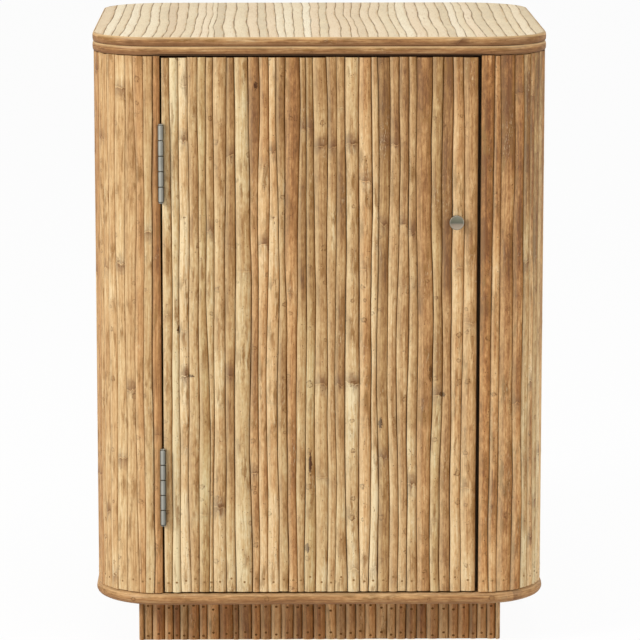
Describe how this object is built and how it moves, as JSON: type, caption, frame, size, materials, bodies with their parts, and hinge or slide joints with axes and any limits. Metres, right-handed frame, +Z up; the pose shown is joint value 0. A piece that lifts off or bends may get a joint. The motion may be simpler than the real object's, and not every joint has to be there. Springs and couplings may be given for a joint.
{
  "type": "storage side table",
  "caption": "Rattan-clad storage side table: rounded cabinet of split canes on a recessed plinth, flat sanded cane top, hinged door with a round metal knob, shelf inside.",
  "frame": {"origin": "on the floor, in the middle of the table's plan", "axes": "+Z up, -Y towards the door, +X to the right as seen from the front"},
  "size_m": [0.45, 0.407, 0.613],
  "materials": {
    "split_cane": "natural rattan, clear satin",
    "plinth_cane": "natural rattan, clear satin, darker",
    "sanded_cane": "sanded rattan, clear satin",
    "trim_cane": "bent rattan, clear satin",
    "plywood": "stained plywood",
    "softwood": "planed softwood",
    "satin_steel": "satin nickel-plated steel",
    "zinc_steel": "zinc-plated steel",
    "catch_plastic": "brown moulded plastic",
    "magnet": "ferrite"
  },
  "bodies": {
    "carcass": {"back_canes": "split_cane", "back_left_corner": "plywood", "back_left_corner_canes": "split_cane", "back_panel": "plywood", "back_right_corner": "plywood", "back_right_corner_canes": "split_cane", "base_trim": "trim_cane", "bottom_board": "plywood", "bottom_cleat_screws": "zinc_steel", "bottom_cleats": "softwood", "catch_case": "catch_plastic", "catch_magnet": "magnet", "catch_pole_plates": "zinc_steel", "catch_screws": "zinc_steel", "catch_stile": "softwood", "door_stop": "softwood", "front_left_corner": "plywood", "front_left_corner_canes": "split_cane", "front_right_corner": "plywood", "front_right_corner_canes": "split_cane", "hinge_stile": "softwood", "left_side_canes": "split_cane", "left_side_panel": "plywood", "lower_hinge_frame_leaf": "satin_steel", "lower_hinge_frame_screws": "zinc_steel", "lower_hinge_pin": "satin_steel", "lower_top_trim": "trim_cane", "plinth_back_board": "plywood", "plinth_back_canes": "plinth_cane", "plinth_corner_blocks": "softwood", "plinth_corner_canes": "plinth_cane", "plinth_front_board": "plywood", "plinth_front_canes": "plinth_cane", "plinth_left_board": "plywood", "plinth_left_canes": "plinth_cane", "plinth_right_board": "plywood", "plinth_right_canes": "plinth_cane", "plinth_screws": "zinc_steel", "right_side_canes": "split_cane", "right_side_panel": "plywood", "shelf": "plywood", "shelf_pins": "zinc_steel", "top_board": "plywood", "top_canes": "sanded_cane", "top_cleat_screws": "zinc_steel", "top_cleats": "softwood", "upper_hinge_frame_leaf": "satin_steel", "upper_hinge_frame_screws": "zinc_steel", "upper_hinge_pin": "satin_steel", "upper_top_trim": "trim_cane"},
    "door": {"door_board": "plywood", "door_canes": "split_cane", "knob": "satin_steel", "knob_screw": "zinc_steel", "lower_hinge_door_leaf": "satin_steel", "lower_hinge_door_screws": "zinc_steel", "strike_plate": "zinc_steel", "strike_screws": "zinc_steel", "upper_hinge_door_leaf": "satin_steel", "upper_hinge_door_screws": "zinc_steel"}
  },
  "joints": [
    {"name": "door_hinge", "type": "hinge", "parent": "carcass", "child": "door", "pos_m": [-0.1555, -0.201, 0.326], "axis": [0, 0, -1], "range_deg": [0, 175]}
  ]
}
